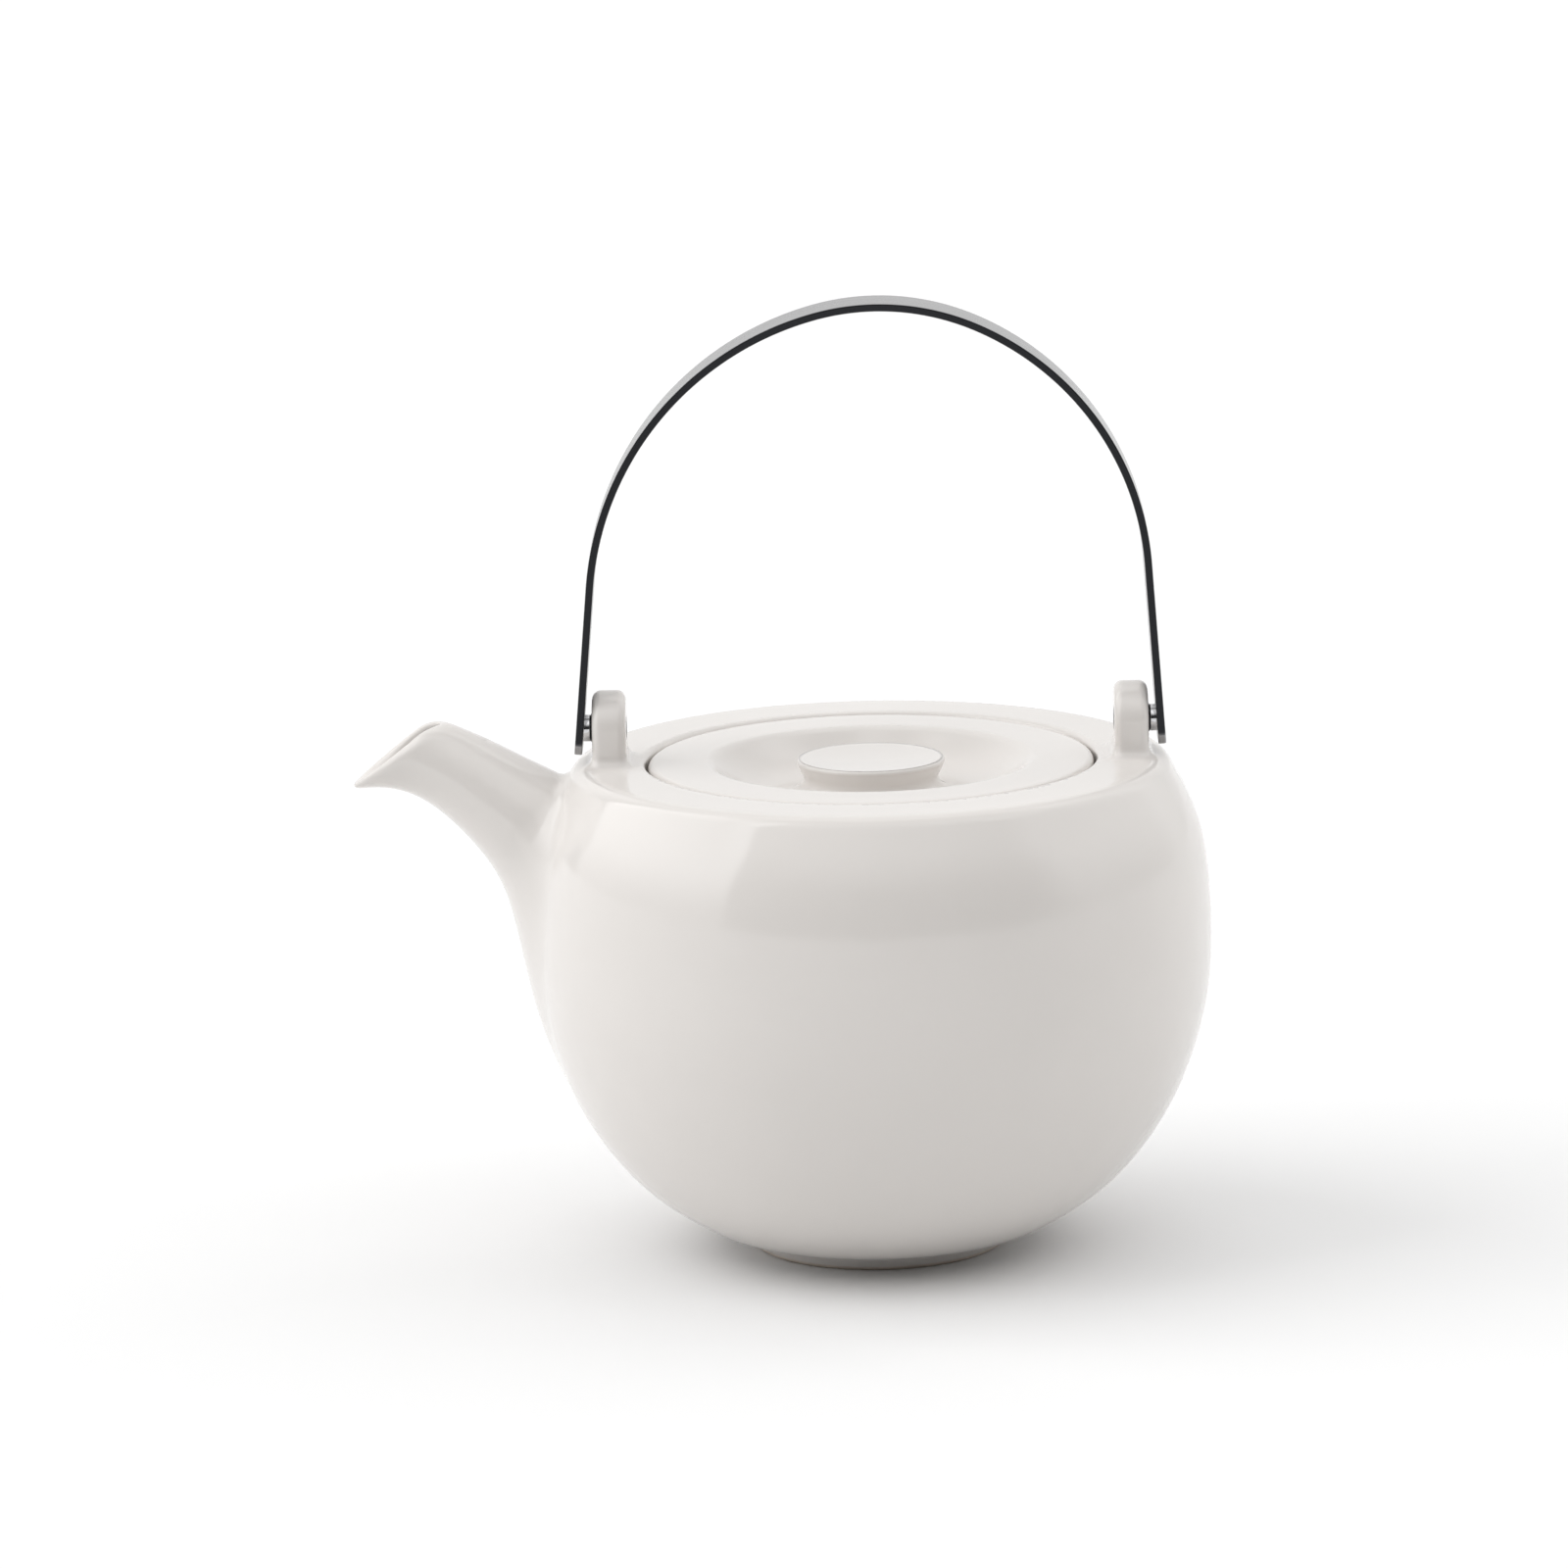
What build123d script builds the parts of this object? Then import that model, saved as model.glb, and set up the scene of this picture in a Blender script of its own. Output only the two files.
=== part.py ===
from build123d import *
from math import acos, atan2, cos, degrees, hypot, radians, sin
import os

# A porcelain teapot with a steel bail handle and a lift-out steel infuser basket.
# Frame: millimetres, +Z up, origin at the middle of the foot on the table.
# The spout points to -X, and the bail's pivot axis lies along X.

# Pot body
top_z = 116.7              # flat ring round the mouth
flat_radius = 66.6         # where that ring starts to round over into the side
shoulder_radius = 4.2      # rounding between ring and side
shoulder_turn = 62.0       # degrees of that rounding
belly_radius = 78.7
belly_top_z = 90.7
belly_low = (78.4, 58.7)   # radius and height of points the side curve passes through
flank_low = (66.5, 28.7)
base_low = (46.2, 8.9)
foot_radius = 30.4
foot_height = 3.2
foot_bearing_radius = 29.6
foot_recess_radius = 25.0
foot_recess = 2.2
foot_rounding = 0.6
wall = 4.0
inner_base = (43.4, 12.6)  # points on the inside of the wall
inner_flank = (62.9, 31.2)
inner_belly_z = (59.4, 89.5)
mouth_radius = 53.1
mouth_rounding = 1.4
ledge_z = 112.2            # seat that the infuser's rim rests on
throat_radius = 46.5
ceiling_z = 108.0
ceiling_radius = 62.0
floor_z = 7.0

# Ears for the bail
pivot_z = 124.8
lug_inner_x = 57.1
lug_thickness = 7.95
lug_outer_x = lug_inner_x + lug_thickness
lug_radius = 8.8
lug_rounding = 2.1
lug_base_rounding = 2.0
bush_radius = 2.7
bush_flange = 0.35
bush_flange_radius = 3.3

# Spout
spout_wall = 2.8
crook_rounding = 7.0       # where the spout grows out of the body
lip_rounding = 1.0
mouth_back_radius = 10.8   # how the pouring edge rolls over at the back
mouth_cut_front = (-128.0, 107.8)
mouth_cut_corner = (-102.1, 128.2)
mouth_cut_back = (-80.0, 121.5)
cut_top_z = 145.0
cut_half_width = 40.0
strainer_rows = (3, 4, 5, 4, 3)    # holes in each row of the strainer behind the spout
strainer_hole = 4.2
strainer_spacing = 6.2
strainer_row_height = 5.4
strainer_middle_z = 90.5
strainer_outer_x = -81.5

# Bail
strap_width = 14.0
strap_thickness = 1.8
strap_pivot_x = 67.9
strap_tail = 5.6           # strap end below the pivot
strap_corner = 3.5
strap_edge = 0.25
crown_x = 3.0              # the strip is bent by hand, with its crown off centre
crown_z = 223.9
crown_radius = 56.6
crown_turn = {-1: 14.6, 1: 23.8}       # degrees of the crown's arc on each side
shoulder_bend = {-1: 71.9, 1: 66.6}    # radius of the arc between crown and leg
pin_radius = 1.6
pin_inset = 0.5            # pin end inside the lug's inner face
running_clearance = 0.05
collar_radius = 3.15
collar_rounding = 0.3
pin_chamfer = 0.4

# Lid
lid_radius = 51.65
lid_seat_z = 113.0         # top of the infuser's rim
lid_top_z = 116.3
lid_rounding = 1.5
lid_wall = 3.6
ridge_radius = 37.6
ridge_rounding = 2.5
dish_z = 107.6             # bottom of the finger dish round the knob
dish_radius = 21.0
neck_radius = 12.2
neck_z = 111.2
knob_radius = 17.2
knob_top_z = 116.4
knob_dip = 0.8
knob_edge = 1.3            # height of the knob's upright edge
knob_rounding = 0.6
knob_hollow_radius = 8.0
skirt_outer = 43.0
skirt_inner = 39.6
skirt_z = 104.0
skirt_rounding = 1.2

# Infuser basket
sheet = 0.5
rim_radius = 52.2
collar_depth = 7.0
basket_radius = 44.9
basket_bottom_z = 48.0
slot_rows = 4
slots_round = 40
slot_width = 0.9
slot_height = 10.0
slot_pitch = 13.0
first_slot_z = 54.0
base_lip = 3.5
base_hole = 1.6
base_rings = 5
base_ring_pitch = 7.0
tab_half_width = 6.0
tab_thickness = 0.8
tab_top_z = 100.0
tab_leaf = 10.0            # height of the welded leaf
tab_reach = 9.0            # length of the finger leaf
tab_corner = 2.5

os.makedirs("parts", exist_ok=True)


def write(part, name):
    """Label a finished piece and write its file."""
    part.label = name
    export_step(part, f"parts/{name}.step")


def pivot_plane(side, x):
    """Plane across the bail's pivot axis at a distance from the middle, facing outward on one side."""
    return Plane(origin=(side * x, 0, pivot_z), x_dir=(0, 1, 0), z_dir=(side, 0, 0))


def across_spout(under, over, width, beyond=0.0):
    """Plane and half axes of an oval section between a point on the spout's underside and one on its top."""
    run = over[0] - under[0]
    rise = over[1] - under[1]
    height = hypot(run, rise)
    outward = Vector(-rise / height, 0, run / height)
    middle = Vector((under[0] + over[0]) / 2, 0, (under[1] + over[1]) / 2) + outward * beyond
    plane = Plane(origin=middle, x_dir=(run, 0, rise), z_dir=outward)
    return plane, height / 2, width / 2


# ---------------------------------------------------------------- pot body
turn = radians(shoulder_turn)
side_top = (flat_radius + shoulder_radius * sin(turn), top_z - shoulder_radius * (1 - cos(turn)))

with BuildPart() as vessel:
    with BuildSketch(Plane.XZ):
        with BuildLine():
            flank = Spline(
                (foot_radius, foot_height),
                base_low,
                flank_low,
                belly_low,
                (belly_radius, belly_top_z),
                side_top,
                tangents=((1, 0.18), (-cos(turn), sin(turn))),
            )
            TangentArc(side_top, (flat_radius, top_z), tangent=flank % 1)
            Polyline(
                (flat_radius, top_z),
                (0, top_z),
                (0, foot_recess),
                (foot_recess_radius, foot_recess),
                (foot_recess_radius + foot_rounding, 0),
                (foot_bearing_radius, 0),
                (foot_radius, foot_height),
            )
        make_face()
    revolve(axis=Axis.Z)
    fillet(vessel.edges().filter_by(GeomType.CIRCLE).group_by(Axis.Z)[0], foot_rounding)

spout_sections = [
    across_spout((-74.5, 50.0), (-46.0, 84.0), 40.0),
    across_spout((-81.7, 69.2), (-56.0, 100.0), 40.0),
    across_spout((-86.9, 86.0), (-68.5, 112.6), 34.0),
    across_spout((-93.0, 97.6), (-79.6, 117.0), 27.0),
    across_spout((-102.3, 106.7), (-89.5, 122.6), 22.0),
    across_spout((-112.0, 111.3), (-96.5, 126.2), 19.0),
    across_spout((-121.2, 111.5), (-101.6, 128.8), 17.0),
    across_spout((-121.2, 111.5), (-101.6, 128.8), 16.0, 5.0),
]

with BuildPart() as spout_outside:
    for plane, half_height, half_width in spout_sections:
        with BuildSketch(plane):
            Ellipse(half_height, half_width)
    loft()

with BuildPart() as spout_passage:
    for plane, half_height, half_width in spout_sections:
        with BuildSketch(plane):
            Ellipse(half_height - spout_wall, half_width - spout_wall)
    loft()
    # the vessel's own wall stays in the way, as the strainer behind the spout
    add(vessel.part, mode=Mode.SUBTRACT)

with BuildPart() as lug:
    with BuildSketch(pivot_plane(1, lug_inner_x)):
        Circle(lug_radius)
        with Locations((0, -lug_radius)):
            Rectangle(2 * lug_radius, 2 * lug_radius)
    extrude(amount=lug_thickness)
    split(bisect_by=Plane.XY.offset(ceiling_z + 2), keep=Keep.TOP)
    side_edges = lug.faces().filter_by(Axis.X).edges()
    fillet(side_edges.filter_by(lambda e: e.center().Z > top_z - lug_radius / 2), lug_rounding)

with BuildPart() as pot_body:
    add(vessel.part)
    add(spout_outside.part)
    crook = pot_body.edges().filter_by(GeomType.BSPLINE).filter_by(
        lambda e: abs(e.center().X + 75) < 8 and e.center().Z > 60 and e.bounding_box().size.Y > 10
    )
    fillet(crook, crook_rounding)
    # the pouring edge: a slanting cut that rolls over at the back of the spout's mouth
    with BuildSketch(Plane.XZ):
        with BuildLine():
            FilletPolyline(mouth_cut_front, mouth_cut_corner, mouth_cut_back, radius=mouth_back_radius)
            Polyline(
                mouth_cut_back,
                (mouth_cut_back[0], cut_top_z),
                (mouth_cut_front[0], cut_top_z),
                mouth_cut_front,
            )
        make_face()
    extrude(amount=cut_half_width, both=True, mode=Mode.SUBTRACT)
    add(lug.part)
    add(mirror(lug.part, about=Plane.YZ))
    lug_base = pot_body.edges().filter_by_position(Axis.Z, top_z - 0.01, top_z + 0.01).filter_by(
        lambda e: e.length < 20 and abs(abs(e.center().X) - lug_inner_x - lug_thickness / 2) < 6
    )
    fillet(lug_base, lug_base_rounding)
    # inside of the vessel
    with BuildSketch(Plane.XZ):
        with BuildLine():
            Spline(
                (0, floor_z),
                inner_base,
                inner_flank,
                (belly_radius - wall, inner_belly_z[0]),
                (belly_radius - wall, inner_belly_z[1]),
                (ceiling_radius, ceiling_z),
                tangents=((1, 0), (-1, 0)),
            )
            Polyline(
                (ceiling_radius, ceiling_z),
                (throat_radius, ceiling_z),
                (throat_radius, ledge_z),
                (mouth_radius, ledge_z),
                (mouth_radius, top_z + 1),
                (0, top_z + 1),
                (0, floor_z),
            )
        make_face()
    revolve(axis=Axis.Z, mode=Mode.SUBTRACT)
    mouth_edge = pot_body.edges().filter_by(GeomType.CIRCLE).filter_by(
        lambda e: abs(e.radius - mouth_radius) < 0.01 and e.center().Z > top_z - 0.1
    )
    fillet(mouth_edge, mouth_rounding)
    add(spout_passage.part, mode=Mode.SUBTRACT)
    lip = pot_body.edges().filter_by(GeomType.BSPLINE).filter_by(
        lambda e: e.center().X < -96 and e.bounding_box().max.Z > ledge_z and e.length > 3
    )
    fillet(lip, lip_rounding)
    # strainer holes through the wall behind the spout
    with BuildSketch(Plane.YZ.offset(strainer_outer_x)):
        for row, count in enumerate(strainer_rows):
            row_z = strainer_middle_z + (row - (len(strainer_rows) - 1) / 2) * strainer_row_height
            with Locations((0, row_z)):
                with GridLocations(strainer_spacing, 1, count, 1):
                    Circle(strainer_hole / 2)
    extrude(amount=-strainer_outer_x - ceiling_radius, mode=Mode.SUBTRACT)
    # bores of the ears
    for side in (-1, 1):
        with BuildSketch(pivot_plane(side, lug_inner_x)):
            Circle(bush_radius)
        extrude(amount=lug_thickness, mode=Mode.SUBTRACT)
write(pot_body.part, "pot_body")

# ---------------------------------------------------------------- bail strap
def shoulder_arc(side, crown_centre):
    """Degrees turned by the arc beside the crown so that the leg after it runs through the pivot, and the leg's end."""
    reach = crown_radius - shoulder_bend[side]
    begin = radians(crown_turn[side])
    centre = Vector(crown_centre.X + side * reach * sin(begin), crown_centre.Y + reach * cos(begin))
    pivot = Vector(side * strap_pivot_x, pivot_z)
    to_pivot = pivot - centre
    finish = atan2(side * to_pivot.X, to_pivot.Y) - acos(shoulder_bend[side] / to_pivot.length)
    end = pivot + Vector(side * cos(finish), -sin(finish)) * strap_tail
    return degrees(finish - begin), end


with BuildPart() as bail_strap:
    with BuildSketch(Plane.XZ):
        with BuildLine():
            for side in (-1, 1):
                turned, end = shoulder_arc(side, Vector(crown_x, crown_z - crown_radius))
                crown = JernArc((crown_x, crown_z), (side, 0), crown_radius, -side * crown_turn[side])
                shoulder = JernArc(crown @ 1, crown % 1, shoulder_bend[side], -side * turned)
                Line(shoulder @ 1, end)
        trace(line_width=strap_thickness)
    extrude(amount=strap_width / 2, both=True)
    tail_corners = bail_strap.edges().filter_by(
        lambda e: e.center().Z < pivot_z - strap_tail + 1 and abs(e.length - strap_thickness) < 0.01
    )
    fillet(tail_corners, strap_corner)
    long_edges = bail_strap.edges().filter_by(
        lambda e: e.length > 2 * strap_thickness and abs(e.center().Y) > strap_width / 4
    )
    fillet(long_edges, strap_edge)
write(bail_strap.part, "bail_strap")

# ---------------------------------------------------------------- pivots
for side, place in ((-1, "left"), (1, "right")):
    with BuildPart() as lug_bush:
        with BuildSketch(pivot_plane(side, lug_inner_x)):
            Circle(bush_radius)
        extrude(amount=lug_thickness)
        with BuildSketch(pivot_plane(side, lug_outer_x)):
            Circle(bush_flange_radius)
        extrude(amount=bush_flange)
        with BuildSketch(pivot_plane(side, lug_inner_x)):
            Circle(pin_radius + running_clearance)
        extrude(amount=lug_thickness + bush_flange, mode=Mode.SUBTRACT)
    write(lug_bush.part, f"lug_bush_{place}")

    with BuildPart() as pivot_pin:
        with BuildSketch(pivot_plane(side, lug_inner_x + pin_inset)):
            Circle(pin_radius)
        extrude(amount=strap_pivot_x - lug_inner_x - pin_inset)
        free_end = pivot_pin.faces().sort_by(Axis.X)[0 if side > 0 else -1]
        chamfer(free_end.edges(), pin_chamfer)
        add(bail_strap.part, mode=Mode.SUBTRACT)
    write(pivot_pin.part, f"pivot_pin_{place}")

    with BuildPart() as pivot_collar:
        with BuildSketch(pivot_plane(side, lug_outer_x + bush_flange + running_clearance)):
            Circle(collar_radius)
            Circle(pin_radius, mode=Mode.SUBTRACT)
        extrude(amount=strap_pivot_x - lug_outer_x - bush_flange - running_clearance)
        lug_end = pivot_collar.faces().sort_by(Axis.X)[0 if side > 0 else -1]
        fillet(lug_end.outer_wire().edges(), collar_rounding)
        add(bail_strap.part, mode=Mode.SUBTRACT)
    write(pivot_collar.part, f"pivot_collar_{place}")

# ---------------------------------------------------------------- lid
with BuildPart() as lid:
    with BuildSketch(Plane.XZ):
        with BuildLine():
            Spline(
                (0, knob_top_z - knob_dip),
                (knob_radius, knob_top_z),
                tangents=((1, 0), (1, 0.09)),
            )
            Line((knob_radius, knob_top_z), (knob_radius, knob_top_z - knob_edge))
            Spline(
                (knob_radius, knob_top_z - knob_edge),
                (neck_radius, neck_z),
                (dish_radius, dish_z),
                (ridge_radius, lid_top_z),
                tangents=((-1, -0.45), (1, 0.75)),
            )
            Polyline(
                (ridge_radius, lid_top_z),
                (lid_radius, lid_top_z),
                (lid_radius, lid_seat_z),
                (skirt_outer, lid_seat_z),
                (skirt_outer, skirt_z),
                (skirt_inner, skirt_z),
                (skirt_inner, lid_top_z - lid_wall),
            )
            Spline(
                (skirt_inner, lid_top_z - lid_wall),
                (dish_radius, dish_z - lid_wall),
                (knob_hollow_radius, neck_z - lid_wall),
                (0, knob_top_z - knob_dip - lid_wall),
                tangents=((-1, -0.75), (-1, 0)),
            )
            Line((0, knob_top_z - knob_dip - lid_wall), (0, knob_top_z - knob_dip))
        make_face()
    revolve(axis=Axis.Z)
    for radius, z, rounding in (
        (knob_radius, knob_top_z, knob_rounding),
        (knob_radius, knob_top_z - knob_edge, knob_rounding / 2),
        (ridge_radius, lid_top_z, ridge_rounding),
        (lid_radius, lid_top_z, lid_rounding),
        (lid_radius, lid_seat_z, lid_rounding / 3),
        (skirt_outer, skirt_z, skirt_rounding),
        (skirt_inner, skirt_z, skirt_rounding),
    ):
        ring = lid.edges().filter_by(GeomType.CIRCLE).filter_by(
            lambda e: abs(e.radius - radius) < 0.02 and abs(e.center().Z - z) < 0.02
        )
        fillet(ring, rounding)
write(lid.part, "lid")

# ---------------------------------------------------------------- infuser basket
with BuildPart() as infuser_rim:
    with BuildSketch(Plane.XZ):
        with BuildLine():
            Polyline(
                (basket_radius - sheet, lid_seat_z),
                (rim_radius, lid_seat_z),
                (rim_radius, ledge_z),
                (basket_radius + sheet, ledge_z),
                (basket_radius + sheet, ledge_z - collar_depth),
                (basket_radius, ledge_z - collar_depth),
                (basket_radius, ledge_z),
                (basket_radius - sheet, ledge_z),
                close=True,
            )
        make_face()
    revolve(axis=Axis.Z)
write(infuser_rim.part, "infuser_rim")

with BuildPart() as infuser_wall:
    with BuildSketch(Plane.XY.offset(basket_bottom_z)):
        Circle(basket_radius)
        Circle(basket_radius - sheet, mode=Mode.SUBTRACT)
    extrude(amount=ledge_z - basket_bottom_z)
    for row in range(slot_rows):
        with BuildSketch(Plane.XY.offset(first_slot_z + row * slot_pitch)):
            with PolarLocations(basket_radius, slots_round, start_angle=(row % 2) * 180 / slots_round):
                Rectangle(4 * sheet, slot_width)
        extrude(amount=slot_height, mode=Mode.SUBTRACT)
write(infuser_wall.part, "infuser_wall")

with BuildPart() as infuser_base:
    with BuildSketch(Plane.XY.offset(basket_bottom_z)):
        Circle(basket_radius - sheet)
    extrude(amount=base_lip)
    with BuildSketch(Plane.XY.offset(basket_bottom_z + sheet)):
        Circle(basket_radius - 2 * sheet)
    extrude(amount=base_lip, mode=Mode.SUBTRACT)
    with BuildSketch(Plane.XY.offset(basket_bottom_z)):
        Circle(base_hole / 2)
        for ring in range(1, base_rings + 1):
            with PolarLocations(ring * base_ring_pitch, 6 * ring):
                Circle(base_hole / 2)
    extrude(amount=sheet, mode=Mode.SUBTRACT)
write(infuser_base.part, "infuser_base")

for side, place in ((-1, "front"), (1, "back")):
    leaf_outer = basket_radius - sheet
    with BuildPart() as infuser_tab:
        with BuildSketch(Plane.XY.offset(tab_top_z - tab_leaf)):
            Circle(leaf_outer)
            Circle(leaf_outer - tab_thickness, mode=Mode.SUBTRACT)
            with Locations((0, side * leaf_outer)):
                Rectangle(2 * tab_half_width, leaf_outer, mode=Mode.INTERSECT)
        extrude(amount=tab_leaf)
        with BuildSketch(Plane.XY.offset(tab_top_z)):
            Circle(leaf_outer)
            with Locations((0, side * leaf_outer)):
                Rectangle(2 * tab_half_width, 2 * tab_reach, mode=Mode.INTERSECT)
        extrude(amount=tab_thickness)
        tip = infuser_tab.edges().filter_by(
            lambda e: abs(e.length - tab_thickness) < 0.01 and abs(e.center().Y) < leaf_outer - tab_reach + 1
        )
        fillet(tip, tab_corner)
    write(infuser_tab.part, f"infuser_tab_{place}")
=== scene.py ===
from math import acos, atan2, ceil, cos, hypot, pi, radians, sin

import bmesh
import bpy
import numpy as np
from mathutils import Matrix, Vector


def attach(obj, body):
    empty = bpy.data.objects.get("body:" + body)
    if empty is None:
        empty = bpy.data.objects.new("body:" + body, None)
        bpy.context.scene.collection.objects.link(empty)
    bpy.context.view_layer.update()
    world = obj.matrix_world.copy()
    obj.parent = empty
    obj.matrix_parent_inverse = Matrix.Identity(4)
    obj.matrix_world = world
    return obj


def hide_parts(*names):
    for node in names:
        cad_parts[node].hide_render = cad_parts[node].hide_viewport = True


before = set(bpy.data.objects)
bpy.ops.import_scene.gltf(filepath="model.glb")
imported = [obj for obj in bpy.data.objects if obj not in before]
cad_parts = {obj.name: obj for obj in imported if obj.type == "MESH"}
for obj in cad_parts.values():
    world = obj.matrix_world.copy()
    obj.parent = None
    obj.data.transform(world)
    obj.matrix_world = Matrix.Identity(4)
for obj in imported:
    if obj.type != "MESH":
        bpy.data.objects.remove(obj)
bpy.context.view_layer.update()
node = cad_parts
mm = 0.001


# ---------------------------------------------------------------- curves and distance fields, in millimetres
class Cubic:
    """Smooth curve through points; its parameter counts them from 0. End directions are optional."""

    def __init__(self, points, start=None, end=None):
        self.p = np.array(points, float)
        n = len(self.p)
        step = np.diff(self.p, axis=0)
        rows = np.zeros((n, n))
        sides = np.zeros(self.p.shape)
        for i in range(1, n - 1):
            rows[i, i - 1:i + 2] = 1, 4, 1
            sides[i] = 3 * (step[i - 1] + step[i])
        for i, near, chord, direction in ((0, 1, step[0], start), (n - 1, n - 2, step[-1], end)):
            if direction is None:
                rows[i, [i, near]] = 2, 1
                sides[i] = 3 * chord
            else:
                rows[i, i] = 1
                sides[i] = np.array(direction) / np.linalg.norm(direction) * np.linalg.norm(chord)
        self.slope = np.linalg.solve(rows, sides)

    def __call__(self, t):
        i = np.clip(np.floor(t).astype(int), 0, len(self.p) - 2)
        u = (t - i)[:, None]
        a, b, da, db = self.p[i], self.p[i + 1], self.slope[i], self.slope[i + 1]
        return a + u * da + u * u * (3 * (b - a) - 2 * da - db) + u ** 3 * (2 * (a - b) + da + db)

    def sampled(self, step):
        """The curve as points about a step apart."""
        points = self(np.linspace(0, len(self.p) - 1, 40 * len(self.p)))
        along = np.concatenate([[0], np.cumsum(np.linalg.norm(np.diff(points, axis=0), axis=1))])
        at = np.linspace(0, along[-1], ceil(along[-1] / step) + 1)
        return np.stack([np.interp(at, along, c) for c in points.T], 1)


def rounded(points, radii):
    """Line through points whose inner corners are rounded with the radii."""
    p = [np.array(q, float) for q in points]
    line = [p[0]]
    for before, corner, after, radius in zip(p, p[1:], p[2:], radii):
        u = (before - corner) / np.linalg.norm(before - corner)
        v = (after - corner) / np.linalg.norm(after - corner)
        half = np.arccos(np.clip(u @ v, -1, 1)) / 2
        if radius == 0 or half > pi / 2 - 0.01:
            line.append(corner)
            continue
        start, end = corner + u * radius / np.tan(half), corner + v * radius / np.tan(half)
        centre = corner + (u + v) / np.linalg.norm(u + v) * radius / np.sin(half)
        for share in np.linspace(0, 1, 9):
            spoke = (start - centre) * (1 - share) + (end - centre) * share
            line.append(centre + spoke / np.linalg.norm(spoke) * radius)
    line.append(p[-1])
    return np.array(line)


class Outline:
    """Line in a plane with the solid on its left: gives signed distance and outward normals."""

    def __init__(self, *parts, step=0.4):
        line = np.concatenate(parts)
        line = line[np.concatenate([[True], np.linalg.norm(np.diff(line, axis=0), axis=1) > 1e-6])]
        pieces = []
        for a, b in zip(line, line[1:]):
            count = max(1, ceil(np.linalg.norm(b - a) / step))
            pieces.append(a + (b - a) * np.linspace(0, 1, count, endpoint=False)[:, None])
        self.p = np.concatenate(pieces + [line[-1:]])
        run = np.diff(self.p, axis=0)
        run /= np.linalg.norm(run, axis=1)[:, None]
        right = np.stack([run[:, 1], -run[:, 0]], 1)
        bend = np.concatenate([right[:1], right[:-1] + right[1:], right[-1:]])
        if np.allclose(self.p[0], self.p[-1]):
            bend[[0, -1]] = right[0] + right[-1]
        self.n = bend / np.linalg.norm(bend, axis=1)[:, None]

    def __call__(self, q):
        nearest = np.empty(len(q), int)
        lengths = (self.p ** 2).sum(1)
        for s in range(0, len(q), 8192):
            nearest[s:s + 8192] = (lengths - 2 * q[s:s + 8192] @ self.p.T).argmin(1)
        best, found = np.full(len(q), np.inf), np.zeros((len(q), 3))
        for side in (-1, 0):
            i = np.clip(nearest + side, 0, len(self.p) - 2)
            a, b = self.p[i], self.p[i + 1]
            u = np.clip(((q - a) * (b - a)).sum(1) / ((b - a) ** 2).sum(1), 0, 1)[:, None]
            off = q - a - u * (b - a)
            far = np.linalg.norm(off, axis=1)
            n = self.n[i] * (1 - u) + self.n[i + 1] * u
            n /= np.linalg.norm(n, axis=1)[:, None]
            better = far < best
            found[better] = np.column_stack([far * np.sign((off * n).sum(1)), n])[better]
            best = np.where(better, far, best)
        return found


class Table:
    """A function of a plane worked out on a fine grid and read back between its points."""

    def __init__(self, function, low, high, step=0.25):
        self.low, self.step = np.array(low, float), step
        self.count = np.ceil((np.array(high) - self.low) / step).astype(int) + 1
        axes = [self.low[i] + step * np.arange(self.count[i]) for i in range(2)]
        at = np.stack(np.meshgrid(*axes, indexing="ij"), -1).reshape(-1, 2)
        self.values = function(at).reshape(*self.count, -1)

    def __call__(self, q):
        at = np.clip((q - self.low) / self.step, 0, self.count - 1.001)
        i, j = at.astype(int).T
        u, v = (at % 1).T[:, :, None]
        v0, v1 = self.values[i, j], self.values[i + 1, j]
        w0, w1 = self.values[i, j + 1], self.values[i + 1, j + 1]
        return (v0 * (1 - u) + v1 * u) * (1 - v) + (w0 * (1 - u) + w1 * u) * v


def union(a, b, k):
    """Both solids, with the corner between them filled to a soft blend of size k."""
    h = np.clip(1 - np.abs(a[0] - b[0]) / k, 0, 1)
    share = np.where(a[0] < b[0], 1 - h / 2, h / 2)[:, None]
    return np.minimum(a[0], b[0]) - h * h * k / 4, a[1] * share + b[1] * (1 - share)


def minus(a, b, k):
    """The first solid less the second, with the edge between them rounded by about k."""
    d, g = union((-a[0], -a[1]), b, k)
    return -d, -g


def turned(table, p):
    """Solid of revolution about the Z axis, from a table of its outline."""
    r = np.maximum(np.hypot(p[:, 0], p[:, 1]), 1e-6)
    d, out, up = table(np.stack([r, p[:, 2]], 1)).T
    return d, np.stack([out * p[:, 0] / r, out * p[:, 1] / r, up], 1)


def rod(p, y, z, radius, end):
    """Cylinder along X from x = end towards +X."""
    dy, dz = p[:, 1] - y, p[:, 2] - z
    r = np.maximum(np.hypot(dy, dz), 1e-6)
    cap = end - p[:, 0]
    flat = (cap > r - radius)[:, None]
    return np.maximum(r - radius, cap), np.where(flat, [-1.0, 0, 0], np.stack([0 * r, dy / r, dz / r], 1))


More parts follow.
